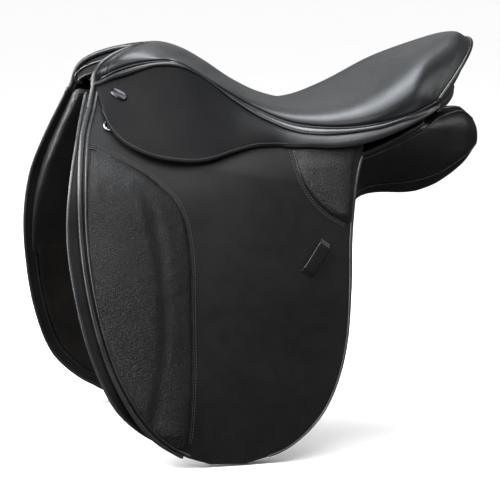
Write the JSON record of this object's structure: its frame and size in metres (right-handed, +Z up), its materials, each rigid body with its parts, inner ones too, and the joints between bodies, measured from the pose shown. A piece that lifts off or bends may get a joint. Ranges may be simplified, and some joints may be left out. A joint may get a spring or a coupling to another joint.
{
  "type": "english riding saddle",
  "caption": "Black leather riding saddle with padded seat, lifting flaps and skirts, knee blocks, stirrup bars and girth straps.",
  "frame": {"origin": "on the saddle's centre plane at the height of the panels' bearing, under the middle of the seat", "axes": "+X from pommel to cantle, +Y to the horse's right side, +Z up"},
  "size_m": [0.5043, 0.3844, 0.452],
  "materials": {
    "tree_laminate": "laminated beech, sealed",
    "steel_plate": "bare pressed steel",
    "webbing": "woven linen webbing",
    "foam": "latex foam",
    "seat_leather": "smooth slightly glossy black leather",
    "smooth_leather": "smooth matte black calf leather",
    "plated_steel": "polished nickel plate",
    "grained_leather": "soft pebble-grained black leather over foam",
    "panel_leather": "soft matte black leather"
  },
  "bodies": {
    "saddle": {"tree": "tree_laminate", "head_plate": "steel_plate", "gullet_plate": "steel_plate", "left_straining_web": "webbing", "right_straining_web": "webbing", "seat_foam": "foam", "seat_cover": "seat_leather", "left_seat_welt": "smooth_leather", "right_seat_welt": "smooth_leather", "cantle_binding": "smooth_leather", "cantle_facing": "smooth_leather", "pommel_binding": "smooth_leather", "pommel_facing": "smooth_leather", "left_skirt_border": "smooth_leather", "right_skirt_border": "smooth_leather", "left_crown_stud": "plated_steel", "right_crown_stud": "plated_steel", "left_tree_point": "tree_laminate", "right_tree_point": "tree_laminate", "left_point_pocket": "smooth_leather", "right_point_pocket": "smooth_leather", "left_stirrup_bar": "plated_steel", "right_stirrup_bar": "plated_steel", "left_sweat_flap": "smooth_leather", "right_sweat_flap": "smooth_leather", "left_inner_block": "grained_leather", "right_inner_block": "grained_leather", "left_panel": "panel_leather", "right_panel": "panel_leather", "channel_lining": "panel_leather", "left_girth_web": "webbing", "right_girth_web": "webbing"},
    "left_flap": {"left_flap": "smooth_leather", "left_flap_piping": "smooth_leather", "left_knee_block": "grained_leather", "left_thigh_pad": "grained_leather", "left_keeper": "smooth_leather", "left_dee_staple": "plated_steel"},
    "left_skirt": {"left_skirt": "smooth_leather"},
    "left_bar_catch": {"left_bar_catch": "plated_steel"},
    "left_dee_ring": {"left_dee_ring": "plated_steel"},
    "left_girth_straps": {"left_strap_front": "smooth_leather", "left_strap_middle": "smooth_leather", "left_strap_rear": "smooth_leather"},
    "left_buckle_guard": {"left_buckle_guard": "smooth_leather"},
    "right_flap": {"right_flap": "smooth_leather", "right_flap_piping": "smooth_leather", "right_knee_block": "grained_leather", "right_thigh_pad": "grained_leather", "right_keeper": "smooth_leather", "right_dee_staple": "plated_steel"},
    "right_skirt": {"right_skirt": "smooth_leather"},
    "right_bar_catch": {"right_bar_catch": "plated_steel"},
    "right_dee_ring": {"right_dee_ring": "plated_steel"},
    "right_girth_straps": {"right_strap_front": "smooth_leather", "right_strap_middle": "smooth_leather", "right_strap_rear": "smooth_leather"},
    "right_buckle_guard": {"right_buckle_guard": "smooth_leather"}
  },
  "joints": [
    {"name": "left_flap_lift", "type": "hinge", "parent": "saddle", "child": "left_flap", "pos_m": [-0.2, -0.07, 0.092], "axis": [-0.9422, 0.2747, 0.1916], "range_deg": [0, 70]},
    {"name": "left_skirt_lift", "type": "hinge", "parent": "left_flap", "child": "left_skirt", "pos_m": [-0.2, -0.07, 0.092], "axis": [-0.9422, 0.2747, 0.1916], "range_deg": [0, 45]},
    {"name": "left_catch_turn", "type": "hinge", "parent": "saddle", "child": "left_bar_catch", "pos_m": [-0.0875, -0.097, 0.052], "axis": [0, -1, 0], "range_deg": [0, 80]},
    {"name": "left_dee_swing", "type": "hinge", "parent": "left_flap", "child": "left_dee_ring", "pos_m": [-0.1825, -0.08296, 0.0695], "axis": [-0.2899, 0.564, 0.7732], "range_deg": [0, 14]},
    {"name": "left_strap_swing", "type": "hinge", "parent": "saddle", "child": "left_girth_straps", "pos_m": [-0.008, -0.104, 0.042], "axis": [0, 1, 0], "range_deg": [-4, 4]},
    {"name": "left_guard_slide", "type": "slide", "parent": "left_girth_straps", "child": "left_buckle_guard", "axis": [0, -0.1629, -0.9866], "range_m": [0, 0.06]},
    {"name": "right_flap_lift", "type": "hinge", "parent": "saddle", "child": "right_flap", "pos_m": [-0.2, 0.07, 0.092], "axis": [0.9422, 0.2747, -0.1916], "range_deg": [0, 70]},
    {"name": "right_skirt_lift", "type": "hinge", "parent": "right_flap", "child": "right_skirt", "pos_m": [-0.2, 0.07, 0.092], "axis": [0.9422, 0.2747, -0.1916], "range_deg": [0, 45]},
    {"name": "right_catch_turn", "type": "hinge", "parent": "saddle", "child": "right_bar_catch", "pos_m": [-0.0875, 0.097, 0.052], "axis": [0, -1, 0], "range_deg": [0, 80]},
    {"name": "right_dee_swing", "type": "hinge", "parent": "right_flap", "child": "right_dee_ring", "pos_m": [-0.1825, 0.08296, 0.0695], "axis": [0.2899, 0.564, -0.7732], "range_deg": [0, 14]},
    {"name": "right_strap_swing", "type": "hinge", "parent": "saddle", "child": "right_girth_straps", "pos_m": [-0.008, 0.104, 0.042], "axis": [0, 1, 0], "range_deg": [-4, 4]},
    {"name": "right_guard_slide", "type": "slide", "parent": "right_girth_straps", "child": "right_buckle_guard", "axis": [0, 0.1629, -0.9866], "range_m": [0, 0.06]}
  ]
}
